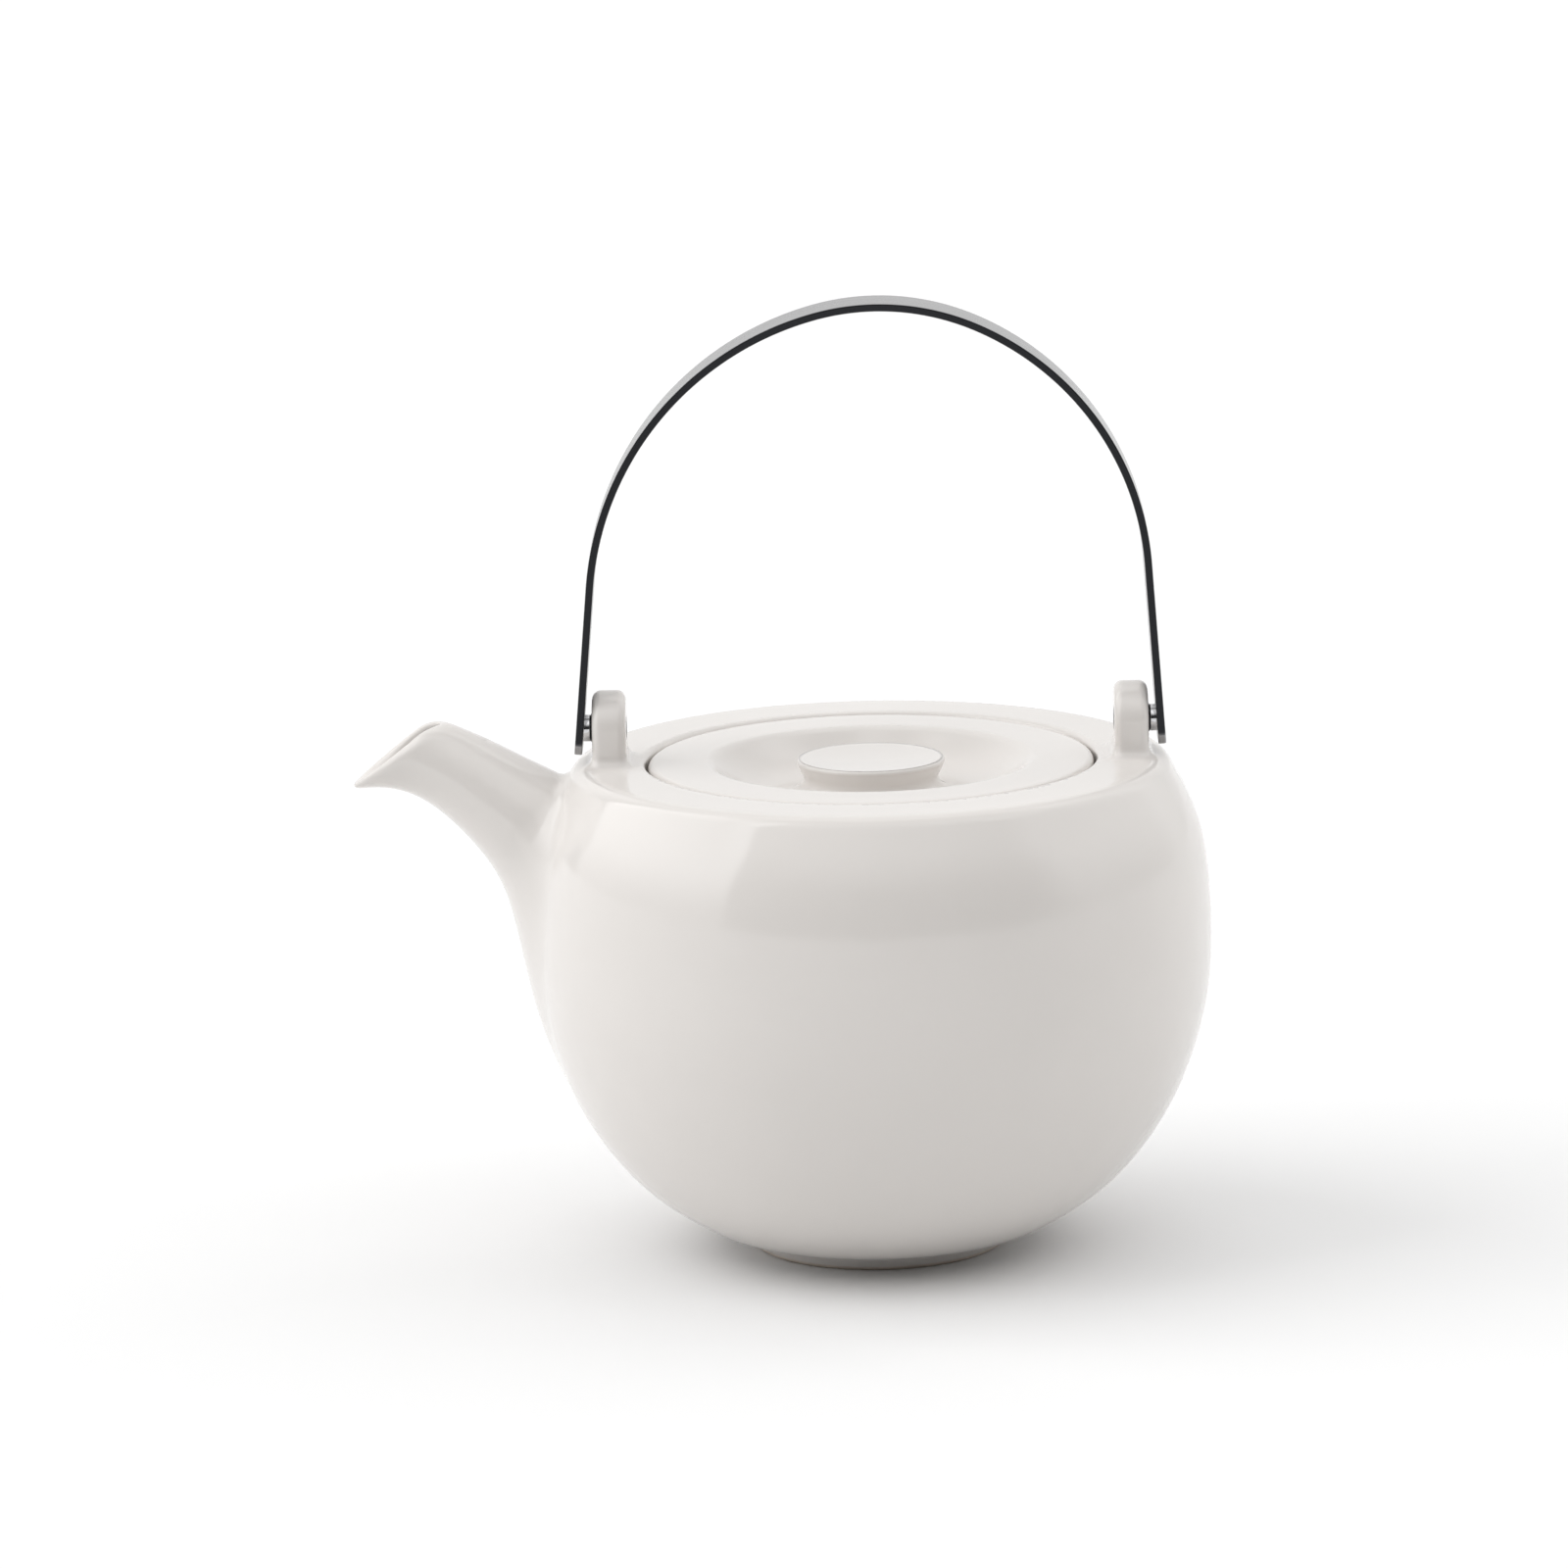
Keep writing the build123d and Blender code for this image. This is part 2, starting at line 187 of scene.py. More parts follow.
def surface_net(field, low, high, step, block=4):
    """Quad mesh of a field's zero surface: points and quads."""
    cells = (np.ceil((np.array(high) - low) / (step * block)).astype(int)) * block
    axes = [low[i] + step * np.arange(cells[i] + 1) for i in range(3)]
    mid = [low[i] + step * block * (np.arange(cells[i] // block) + 0.5) for i in range(3)]
    coarse_at = np.stack(np.meshgrid(*mid, indexing="ij"), -1)
    coarse = field(coarse_at.reshape(-1, 3))[0].reshape(coarse_at.shape[:3])
    value = coarse
    for axis in range(3):
        value = np.repeat(value, block, axis)
        value = np.concatenate([value, value.take([-1], axis)], axis)
    wanted = np.zeros(value.shape, bool)
    for i, j, k in np.argwhere(np.abs(coarse) < step * block) * block:
        wanted[i:i + block + 1, j:j + block + 1, k:k + block + 1] = True
    index = np.argwhere(wanted)
    value[wanted] = field(np.stack([axes[i][index[:, i]] for i in range(3)], 1))[0]
    inside = value < 0
    total = np.zeros((*cells, 3))
    count = np.zeros(cells, int)
    faces = []
    for axis in range(3):
        one, two = [slice(None)] * 3, [slice(None)] * 3
        one[axis], two[axis] = slice(0, -1), slice(1, None)
        crossing = np.argwhere(inside[tuple(one)] != inside[tuple(two)])
        other = crossing.copy()
        other[:, axis] += 1
        a, b = value[tuple(crossing.T)], value[tuple(other.T)]
        point = crossing + (other - crossing) * (a / (a - b))[:, None]
        ring = []
        for du, dv in ((-1, -1), (0, -1), (0, 0), (-1, 0)):
            cell = crossing.copy()
            cell[:, (axis + 1) % 3] += du
            cell[:, (axis + 2) % 3] += dv
            np.add.at(total, tuple(cell.T), point)
            np.add.at(count, tuple(cell.T), 1)
            ring.append(np.ravel_multi_index(cell.T, cells))
        ring = np.stack(ring, 1)
        faces.append(np.where((a < 0)[:, None], ring, ring[:, ::-1]))
    used = np.flatnonzero(count.ravel())
    number = np.zeros(count.size, int)
    number[used] = np.arange(len(used))
    points = low + step * (total.reshape(-1, 3)[used] / count.ravel()[used][:, None])
    return points, number[np.concatenate(faces)]


def onto(points, field, rounds=3):
    """Points moved onto a field's surface."""
    for _ in range(rounds):
        d, g = field(points)
        points = points - np.clip(d, -0.8, 0.8)[:, None] * g / np.maximum((g * g).sum(1), 0.3)[:, None]
    return points


def settle(points, quads, field, rounds=3, pull=0.5):
    """Evens out the net and puts each point on the surface."""
    edge = np.concatenate([quads[:, [i, (i + 1) % 4]] for i in range(4)])
    count = np.maximum(np.bincount(edge[:, 0], minlength=len(points)), 1)[:, None]
    points = onto(points, field)
    for _ in range(rounds):
        mean = np.stack([np.bincount(edge[:, 0], points[edge[:, 1], i], len(points)) for i in range(3)], 1)
        points = onto(points + (mean / count - points) * pull, field, 2)
    return onto(points, field)


def refined(mesh_points, faces, wanted, field):
    """Faces of the wanted regions split in four, with the new points put on the surface."""
    shape = bmesh.new()
    vertices = [shape.verts.new(p) for p in mesh_points.tolist()]
    for face in faces:
        shape.faces.new([vertices[i] for i in face])
    at = np.array([(a.co + b.co) / 2 for a, b in (e.verts for e in shape.edges)])
    chosen = [e for e, take in zip(shape.edges, wanted(at)) if take]
    bmesh.ops.subdivide_edges(shape, edges=chosen, cuts=1, use_grid_fill=True)
    shape.verts.index_update()
    points = np.array([v.co for v in shape.verts])
    faces = [[v.index for v in f.verts] for f in shape.faces]
    shape.free()
    return onto(points, field), faces


# ---------------------------------------------------------------- making pieces
def piece(name, points, faces, normals, body, slot, stands_for):
    """A smooth mesh from points in millimetres with its own normals, riding on a body."""
    mesh = bpy.data.meshes.new(name)
    mesh.from_pydata((np.asarray(points) * mm).tolist(), [], faces)
    mesh.shade_smooth()
    mesh.normals_split_custom_set_from_vertices(np.asarray(normals).tolist())
    obj = bpy.data.objects.new(name, mesh)
    bpy.context.scene.collection.objects.link(obj)
    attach(obj, body)
    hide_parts(*stands_for)
    obj.data.materials.append(finish[slot])
    return obj


def revolved(outline, segments, axis_side=0, height=0.0):
    """Points, quads and normals of an outline turned about Z, or about X at a height with a side given."""
    angle = np.arange(segments) * 2 * pi / segments
    turn = np.stack([np.cos(angle), np.sin(angle)], 1)
    closed = np.allclose(outline.p[0], outline.p[-1])
    count = len(outline.p) - closed
    made = []
    for source in (outline.p[:count], outline.n[:count]):
        ring = source[:, None, :1] * turn[None]
        along = np.repeat(source[:, None, 1:], segments, 1)
        made.append(np.concatenate([ring, along], 2).reshape(-1, 3))
    points, normals = made
    i, j = np.meshgrid(np.arange(count - (not closed)), np.arange(segments), indexing="ij")
    here, onward = i * segments, (i + 1) % count * segments
    k = (j + 1) % segments
    quads = np.stack([here + j, here + k, onward + k, onward + j], -1).reshape(-1, 4)
    if axis_side:
        points = points[:, [2, 0, 1]] * [axis_side, 1, 1] + [0, 0, height]
        normals = normals[:, [2, 0, 1]] * [axis_side, 1, 1]
        quads = quads[:, ::axis_side]
    return points, quads.tolist(), normals


# ---------------------------------------------------------------- porcelain body
top_z = 116.7
pivot_z = 124.8
ledge_z = 112.2
mouth_radius = 52.9
shoulder_flat, shoulder_radius, shoulder_turn = 66.6, 4.2, radians(62)
lug_middle, lug_half, lug_radius, lug_round, lug_blend = 61.075, 3.975, 8.8, 2.1, 3.5
spout_blend, crook_blend, spout_wall, lip_blend = 8.0, 3.0, 2.8, 2.8
bush_radius = 2.7
strainer_middle_z, strainer_spacing, strainer_row_height, strainer_hole = 90.5, 6.2, 5.4, 4.2
strainer_outer_x, strainer_inner_x = -81.5, -60.0


def vessel_outline():
    """Half of the pot's outside, from under the foot to the middle of the top."""
    middle_z = top_z - shoulder_radius
    side_top = (
        shoulder_flat + shoulder_radius * sin(shoulder_turn),
        top_z - shoulder_radius * (1 - cos(shoulder_turn)),
    )
    foot = rounded(
        [(0, 2.2), (25, 2.2), (25.6, 0), (29.6, 0), (30.4, 3.3), (35.5, 4.1)],
        (0.8, 0.5, 0.6, 0.5),
    )
    side = Cubic(
        [(35.5, 4.1), (46.2, 8.9), (56.9, 17.0), (66.5, 28.7), (73.7, 42.7), (78.2, 58.7), (79.4, 74.7),
         (78.6, 90.7), (75.9, 102.9), side_top],
        start=(1, 0.2), end=(-cos(shoulder_turn), sin(shoulder_turn)),
    ).sampled(0.4)
    angle = np.linspace(pi / 2 - shoulder_turn, pi / 2, 12)
    shoulder = np.stack([
        shoulder_flat + shoulder_radius * np.cos(angle),
        middle_z + shoulder_radius * np.sin(angle),
    ], 1)
    return Outline(foot, side, shoulder, [(0, top_z)])


def cavity_outline():
    """The same for the pot's inside, out through the mouth."""
    bowl = Cubic(
        [(0, 7.0), (43.4, 12.6), (62.9, 31.2), (74.7, 59.4), (74.7, 89.5), (66.0, 105.5)],
        start=(1, 0), end=(-1, 0.75),
    ).sampled(0.4)
    throat = rounded(
        [(66.0, 105.5), (62.7, 108.0), (46.5, 108.0), (46.5, ledge_z), (mouth_radius, ledge_z),
         (mouth_radius, top_z), (60, top_z)],
        (4.0, 0.8, 0.6, 0.4, 1.4),
    )
    return Outline(bowl, throat[:-1], [(54.5, 130), (0, 130)])


# the spout's underside, its top and its width, at the same stations from root to tip
spout_under = Cubic(
    [(-50, 22), (-69.5, 43.5), (-78.2, 60), (-83.0, 75), (-87.2, 88.0), (-93.2, 97.7), (-102.4, 106.8),
     (-112, 111.3), (-122.5, 111.2), (-134, 109.0)])
spout_over = Cubic(
    [(-28, 68), (-43, 83), (-52, 95), (-60.5, 103.5), (-69.5, 111.4), (-80.0, 117.3), (-90.3, 122.8),
     (-99.0, 127.6), (-106.5, 133.5), (-114, 142)])
spout_width = Cubic(
    [(24, 0), (27, 0), (30, 0), (31.5, 0), (30, 0), (26.0, 0), (20.5, 0), (16, 0), (13.2, 0), (12, 0)])


def spout_place(q):
    """Where points of the middle plane lie across the spout, -1 underside to 1 top, and its half width."""
    low, high = np.zeros(len(q)), np.full(len(q), len(spout_under.p) - 1.0)
    for _ in range(26):
        t = (low + high) / 2
        under, over = spout_under(t), spout_over(t)
        run = over - under
        off = q - under
        ahead = run[:, 0] * off[:, 1] > run[:, 1] * off[:, 0]
        low, high = np.where(ahead, t, low), np.where(ahead, high, t)
    return np.stack([2 * (off * run).sum(1) / (run ** 2).sum(1) - 1, spout_width(t)[:, 0] / 2], 1)


def spout_slopes(q):
    """The same with their slopes along x and z."""
    d = 0.1
    return np.concatenate([spout_place(q)] + [
        (spout_place(q + step) - spout_place(q - step)) / (2 * d) for step in ((d, 0), (0, d))
    ], 1)


def spout_field(p):
    """Distance to the spout's outside, nearly; its root ends deep inside the pot."""
    y = p[:, 1]
    a, w, ax, wx, az, wz = spout_table(p[:, [0, 2]]).T
    f = np.maximum(np.hypot(a, y / w), 1e-3)
    g = np.stack([(a * ax - y * y * wx / w ** 3) / f, y / w ** 2 / f, (a * az - y * y * wz / w ** 3) / f], 1)
    steep = np.maximum(np.linalg.norm(g, axis=1), 0.02)
    root, top = spout_under.p[0], spout_over.p[0]
    back = np.array([top[1] - root[1], root[0] - top[0]]) / np.hypot(*(top - root))
    behind = (p[:, 0] - root[0]) * back[0] + (p[:, 2] - root[1]) * back[1]
    return np.maximum((f - 1) / steep, behind), g / steep[:, None]


def lug_field(p, side):
    """Upright ear with a round top and rounded edges."""
    z = np.maximum(p[:, 2] - pivot_z, 0)
    r = np.maximum(np.hypot(p[:, 1], z), 1e-6)
    away = side * p[:, 0] - lug_middle
    over, beyond = r - (lug_radius - lug_round), np.abs(away) - (lug_half - lug_round)
    a, b = np.maximum(over, 0), np.maximum(beyond, 0)
    c = np.hypot(a, b)
    outward = np.stack([0 * r, p[:, 1] / r, z / r], 1)
    along = np.stack([np.sign(away) * side, 0 * r, 0 * r], 1)
    bent = (outward * a[:, None] + along * b[:, None]) / np.maximum(c, 1e-6)[:, None]
    straight = np.where((beyond > over)[:, None], along, outward)
    return c + np.minimum(np.maximum(over, beyond), 0) - lug_round, np.where(c[:, None] > 0, bent, straight)


far_away = 60.0
table_low, table_high = (0, -8), (100, 142)
outside_table = Table(vessel_outline(), table_low, table_high)
cavity_table = Table(cavity_outline(), table_low, table_high)
spout_table = Table(spout_slopes, (-132, 18), (-30, 142))
mouth_cut_table = Table(
    Outline(rounded([(-150, 90.4), (-102.1, 128.2), (-80, 121.5), (-80, 170)], (10.8, 0))),
    (-132, 90), (-72, 142),
)
strainer = [
    (strainer_spacing * (i - (count - 1) / 2), strainer_middle_z + strainer_row_height * (row - 2))
    for row, count in enumerate((3, 4, 5, 4, 3)) for i in range(count)
]


def within(p, region, field, *about):
    """A field worked out only for the points of a region, and far away elsewhere."""
    d, g = np.full(len(p), far_away), np.tile([0.0, 0.0, 1.0], (len(p), 1))
    if region.any():
        d[region], g[region] = field(p[region], *about)
    return d, g


def cut_field(p):
    """What the slanting cut at the spout's mouth takes away."""
    d, out, up = mouth_cut_table(p[:, [0, 2]]).T
    return d, np.stack([out, 0 * d, up], 1)


def pot_field(p):
    """Distance to the porcelain body, nearly, and its direction."""
    x, y, z = p.T
    vessel = turned(outside_table, p)
    spout = within(p, x < -32, spout_field)
    blend = np.interp(z, (104.0, 113.0), (spout_blend, crook_blend))
    body = union(vessel, spout, blend)
    for side in (-1, 1):
        beside = (side * x > 45) & (z > 100) & (np.abs(y) < 20)
        body = union(body, within(p, beside, lug_field, side), lug_blend)
    body = minus(body, turned(cavity_table, p), 0.05)
    passage = minus((spout[0] + spout_wall, spout[1]), vessel, 0.5)
    body = minus(body, passage, 1.0)
    for hole_y, hole_z in strainer:
        near = (x < strainer_inner_x) & (np.abs(y - hole_y) < 6) & (np.abs(z - hole_z) < 6)
        hole = within(p, near, rod, hole_y, hole_z, strainer_hole / 2, strainer_outer_x)
        hole = (np.maximum(hole[0], spout[0] + spout_wall), hole[1])
        body = minus(body, hole, 0.6)
    body = minus(body, within(p, (np.abs(y) < 12) & (z > 112), rod, 0, pivot_z, bush_radius, -90), 0.4)
    return minus(body, within(p, x < -76, cut_field), lip_blend)


def fine_parts(at):
    """Lip, ears, mouth edge and foot edge: where the body needs the finer mesh."""
    x, y, z = at.T
    r = np.hypot(x, y)
    lip = (x < -94) & (z > 108)
    ear = (np.abs(x) > 54.5) & (np.abs(x) < 68) & (np.abs(y) < 11.5) & (z > 114.5)
    return lip | ear | ((np.abs(r - mouth_radius) < 2) & (z > 111)) | ((z < 4.2) & (r > 24) & (r < 32))


def finest_parts(at):
    """Lip and ears, which are refined twice."""
    x, y, z = at.T
    ear = (np.abs(x) > 55) & (np.abs(x) < 67.5) & (np.abs(y) < 10.5) & (z > 116)
    return ((x < -94) & (z > 109)) | ear


finish = {slot: bpy.data.materials.new(slot) for slot in (
    "glazed_porcelain", "glazed_porcelain_lid", "strap_steel", "pivot_steel", "bush_plastic", "infuser_steel",
)}
for material in finish.values():
    material.use_nodes = True

net_step = 1.4
net_low, net_high = np.array([-127.3, -84.2, -4.1]), np.array([84.1, 84.3, 138.2])
points, quads = surface_net(pot_field, net_low, net_high, net_step)
points = settle(points, quads, pot_field)
points, faces = refined(points, quads.tolist(), fine_parts, pot_field)
points, faces = refined(points, faces, finest_parts, pot_field)
slope = pot_field(points)[1]
slope /= np.linalg.norm(slope, axis=1)[:, None]
piece("pot_shell", points, faces, slope, "pot", "glazed_porcelain", ["pot_body"])

# ---------------------------------------------------------------- lid
lid_radius, lid_top_z, lid_seat_z = 52.3, 116.3, 113.0
lid_back = 0.5             # it isn't quite centred in the mouth
flank = Cubic(
    [(17.2, 115.2), (16.5, 113.5), (15.8, 111.6), (17.3, 109.4), (21.8, 108.2), (29.4, 110.3), (37.0, 115.6)],
    start=(-0.35, -1), end=(1, 0.72),
).sampled(0.6)[::-1]
crown = Cubic([(16.9, 116.45), (9, 115.9), (0, 115.6)], start=(-1, -0.1), end=(-1, 0)).sampled(0.8)
under = Cubic([(0, 112.0), (8, 107.8), (21, 104.0), (39.6, 112.7)], start=(1, 0), end=(1, 0.75)).sampled(1.0)
lid_outline = Outline(
    under,
    rounded(
        [under[-1], (39.6, 104), (43, 104), (43, lid_seat_z), (lid_radius, lid_seat_z),
         (lid_radius, lid_top_z), (38.5, lid_top_z), flank[0]],
        (1.2, 1.2, 0.4, 0.5, 1.55, 3.5),
    )[:-1],
    flank,
    rounded([flank[-1], (17.35, 115.5), (17.35, 116.5), crown[0]], (0.6, 0.7)),
    crown,
    step=1.5,
)
points, faces, normals = revolved(lid_outline, 224)
points[:, 1] += lid_back
piece("lid_shell", points, faces, normals, "lid", "glazed_porcelain_lid", ["lid"])

# ---------------------------------------------------------------- bail
strap_width, strap_thickness, strap_tail, strap_corner, strap_edge = 14.0, 1.8, 5.6, 3.5, 0.35
strap_pivot_x, crown_x, crown_z, crown_radius = 67.9, 3.0, 223.9, 56.6
crown_turn = {-1: 14.6, 1: 23.8}    # degrees of the crown's arc on either side
shoulder_bend = {-1: 71.9, 1: 66.6}


def strap_side(side, step=1.2):
    """Points, directions from crown to tail and lengths run along one side of the strap's middle line."""
    begin, bend = radians(crown_turn[side]), shoulder_bend[side]
    middle = Vector((crown_x, crown_z - crown_radius))
    reach = crown_radius - bend
    centre = middle + Vector((side * sin(begin), cos(begin))) * reach
    pivot = Vector((side * strap_pivot_x, pivot_z))
    off = pivot - centre
    finish_at = atan2(side * off.x, off.y) - acos(bend / off.length)
    line = []
    for about, radius, first, last in (
        (middle, crown_radius, 0, begin),
        (centre, bend, begin, finish_at),
    ):
        for angle in np.linspace(first, last, ceil((last - first) * radius / step), endpoint=False):
            line.append((about.x + side * radius * sin(angle), about.y + radius * cos(angle), angle))
    start = np.array([centre.x + side * bend * sin(finish_at), centre.y + bend * cos(finish_at)])
    along = np.array([side * cos(finish_at), -sin(finish_at)])
    leg = (np.array(pivot) - start) @ along + strap_tail
    # closer and closer cross sections where the end's corners round off
    bend_in = np.array([0, 0.04, 0.12, 0.22, 0.35, 0.5, 0.75, 1.05, 1.4, 1.8, 2.25, 2.75, strap_corner])
    straight = leg - strap_corner
    stops = np.concatenate([
        np.linspace(0, straight, ceil(straight / step), endpoint=False),
        leg - bend_in[::-1],
    ])
    line += [(*(start + along * s), finish_at) for s in stops]
    line = np.array(line)
    gone = np.concatenate([[0], np.cumsum(np.hypot(*np.diff(line[:, :2], axis=0).T))])
    return np.column_stack([line, gone])


left, right = strap_side(-1), strap_side(1)
left[:, 2] *= -1
left[:, 3] *= -1
spine = np.concatenate([left[:0:-1], right])
end = spine[-1, 3], -spine[0, 3]
strip_back = 12    # how far the inner face lies beside the outer one in the strip's UV map
points, normals, strips = [], [], []
for x, z, angle, along in spine:
    left_over = max(min(end[0] - along, end[1] + along), 0.0)
    in_corner = max(strap_corner - left_over, 0)
    half_width = strap_width / 2 - strap_corner + np.sqrt(max(strap_corner ** 2 - in_corner ** 2, 0))
    in_edge = max(strap_edge - left_over, 0)
    half = strap_thickness / 2 - strap_edge + np.sqrt(max(strap_edge ** 2 - in_edge ** 2, 0))
    out = np.array([sin(angle), 0, cos(angle)])
    ahead = np.array([cos(angle), 0, -sin(angle)]) * (1 if along > 0 else -1)
    lean = in_edge / strap_edge
    edge = min(strap_edge, half * 0.98)
    for corner_y, corner_n, first in ((1, 1, 0), (-1, 1, 90), (-1, -1, 180), (1, -1, 270)):
        for turn in np.radians(first + 90 - np.array([90, 67, 45, 23, 0])):
            face_y, face_n = cos(turn), sin(turn)
            y = corner_y * (half_width - edge) + edge * face_y
            n = corner_n * (half - edge) + edge * face_n
            points.append(np.array([x, 0, z]) + out * n + np.array([0, y, 0]))
            side_lean = (in_corner / strap_corner) * abs(face_y)
            across = np.array([0, face_y, 0]) * np.sqrt(1 - side_lean ** 2)
            normal = out * face_n + across + ahead * max(lean, side_lean)
            normals.append(normal / np.linalg.norm(normal))
            strips.append((along, y + (strip_back if corner_n < 0 else 0)))
around = 20
faces = []
for i in range(len(spine) - 1):
    for j in range(around):
        k = (j + 1) % around
        faces.append((i * around + j, i * around + k, (i + 1) * around + k, (i + 1) * around + j))
faces.append(tuple(range(around))[::-1])
faces.append(tuple(range((len(spine) - 1) * around, len(spine) * around)))
strap = piece("bail_strip", points, faces, normals, "bail", "strap_steel", ["bail_strap"])
uv = strap.data.uv_layers.new(name="strip")
loop_vertex = np.empty(len(strap.data.loops), int)
strap.data.loops.foreach_get("vertex_index", loop_vertex)
uv.data.foreach_set("uv", (np.array(strips)[loop_vertex] * mm).ravel())

# ---------------------------------------------------------------- pivots
lug_inner_x, lug_outer_x = 57.1, 65.05
pin_radius, collar_radius, bush_flange_radius, bush_flange = 1.6, 3.15, 3.3, 0.35
bore_play = 0.05


def ring_outline(corners, radii):
    """Closed outline of a ring's cross section, with rounded corners."""
    middle = [(a + b) / 2 for a, b in zip(corners[0], corners[-1])]
    line = rounded([middle, *corners, middle], radii)
    return Outline(line, step=0.6)


for side, place in ((-1, "left"), (1, "right")):
    near = lug_outer_x + bush_flange + bore_play
    far = strap_pivot_x - strap_thickness / 2 + 0.35    # just inside the leaning strap
    pin_end = lug_inner_x + 0.5
    collar = ring_outline(
        [(pin_radius, near), (collar_radius, near), (collar_radius, far), (pin_radius, far)],
        (0.1, 0.3, 0.05, 0.05),
    )
    points, faces, normals = revolved(collar, 64, side, pivot_z)
    piece(f"collar_{place}", points, faces, normals, "bail", "pivot_steel", [f"pivot_collar_{place}"])
    pin = Outline(
        rounded([(0, pin_end), (pin_radius, pin_end), (pin_radius, far), (0, far)], (0.4, 0.05)),
        step=0.6,
    )
    points, faces, normals = revolved(pin, 48, side, pivot_z)
    piece(f"pin_{place}", points, faces, normals, "bail", "pivot_steel", [f"pivot_pin_{place}"])
    bush = ring_outline(
        [(pin_radius + bore_play, lug_inner_x), (bush_radius, lug_inner_x), (bush_radius, lug_outer_x),
         (bush_flange_radius, lug_outer_x), (bush_flange_radius, lug_outer_x + bush_flange),
         (pin_radius + bore_play, lug_outer_x + bush_flange)],
        (0.15, 0.2, 0, 0.05, 0.12, 0.1),
    )
    points, faces, normals = revolved(bush, 64, side, pivot_z)
    piece(f"bush_{place}", points, faces, normals, "pot", "bush_plastic", [f"lug_bush_{place}"])


# ---------------------------------------------------------------- materials
class Nodes:
    """Short way to add and join a material's nodes."""

    def __init__(self, tree):
        self.tree = tree

    def add(self, kind, settings=(), **inputs):
        made = self.tree.nodes.new(kind)
        for name, value in dict(settings).items():
            setattr(made, name, value)
        for name, value in inputs.items():
            socket = made.inputs[int(name[2:]) if name.startswith("i_") else name.replace("_", " ")]
            if isinstance(value, bpy.types.NodeSocket):
                self.tree.links.new(value, socket)
            else:
                socket.default_value = value
        return made

    def maths(self, operation, *values):
        numbered = {f"i_{i}": value for i, value in enumerate(values)}
        return self.add("ShaderNodeMath", {"operation": operation}, **numbered).outputs[0]

    def band(self, value, low, high, to_low=0.0, to_high=1.0):
        """Smooth step of a value between two limits."""
        made = self.add(
            "ShaderNodeMapRange", {"interpolation_type": "SMOOTHSTEP"},
            i_0=value, i_1=low, i_2=high, i_3=to_low, i_4=to_high,
        )
        return made.outputs[0]

    def noise(self, place, scale, detail=2.0, stretch=None):
        if stretch:
            mapped = self.add("ShaderNodeMapping", Scale=stretch)
            self.tree.links.new(place, mapped.inputs["Vector"])
            place = mapped.outputs[0]
        return self.add("ShaderNodeTexNoise", Vector=place, Scale=scale, Detail=detail).outputs[0]

    def mix(self, share, a, b):
        made = self.add("ShaderNodeMix", {"data_type": "RGBA"}, i_0=share, i_6=a, i_7=b)
        return made.outputs[2]


def start_material(name):
    material = finish[name]
    tree = Nodes(material.node_tree)
    place = tree.add("ShaderNodeTexCoord").outputs["Object"]
    return tree, material.node_tree.nodes["Principled BSDF"], place


def link(tree, out, shader, name):
    tree.tree.links.new(out, shader.inputs[name])


def porcelain(name, ledge_low, ledge_high, ledge_inner, ledge_outer):
    """Glossy glaze over warm white clay, bare on the foot's edge and on the seat inside the mouth."""
    tree, shader, place = start_material(name)
    split = tree.add("ShaderNodeSeparateXYZ", Vector=place)
    x, y, z = split.outputs
    r = tree.maths("SQRT", tree.maths("ADD", tree.maths("MULTIPLY", x, x), tree.maths("MULTIPLY", y, y)))
    foot = tree.band(z, 0.0007, 0.0011, 1.0, 0.0)
    ledge = tree.maths("MULTIPLY", tree.band(z, ledge_high, ledge_high + 0.0004, 1.0, 0.0),
                       tree.band(z, ledge_low - 0.0004, ledge_low))
    ledge = tree.maths("MULTIPLY", ledge, tree.band(r, ledge_outer, ledge_outer + 0.0003, 1.0, 0.0))
    ledge = tree.maths("MULTIPLY", ledge, tree.band(r, ledge_inner - 0.0003, ledge_inner))
    bare = tree.maths("MAXIMUM", foot, ledge)
    cloud = tree.noise(place, 22.0, 3.0)
    grain = tree.noise(place, 900.0, 4.0)
    glaze = tree.mix(tree.band(cloud, 0.3, 0.7), (*glaze_dark, 1), (*glaze_light, 1))
    clay = tree.mix(grain, (0.56, 0.49, 0.42, 1), (0.66, 0.58, 0.51, 1))
    link(tree, tree.mix(bare, glaze, clay), shader, "Base Color")
    smooth = tree.band(tree.noise(place, 60.0, 2.0), 0.3, 0.7, 0.07, 0.11)
    rough = tree.maths("ADD", tree.maths("MULTIPLY", smooth, tree.maths("SUBTRACT", 1.0, bare)),
                       tree.maths("MULTIPLY", bare, 0.55))
    link(tree, rough, shader, "Roughness")
    wave = tree.maths("ADD", tree.maths("MULTIPLY", tree.noise(place, 34.0, 1.0), 0.00022),
                      tree.maths("MULTIPLY", tree.maths("MULTIPLY", grain, bare), 0.00006))
    bump = tree.add("ShaderNodeBump", Height=wave, Strength=1.0, Distance=1.0)
    link(tree, bump.outputs[0], shader, "Normal")
    shader.inputs["IOR"].default_value = 1.52


glaze_light = (0.745, 0.713, 0.684)
glaze_dark = (0.728, 0.697, 0.668)
porcelain("glazed_porcelain", 0.1081, 0.1125, 0.0450, 0.0531)
porcelain("glazed_porcelain_lid", 0.1128, 0.1131, 0.0434, 0.0512)


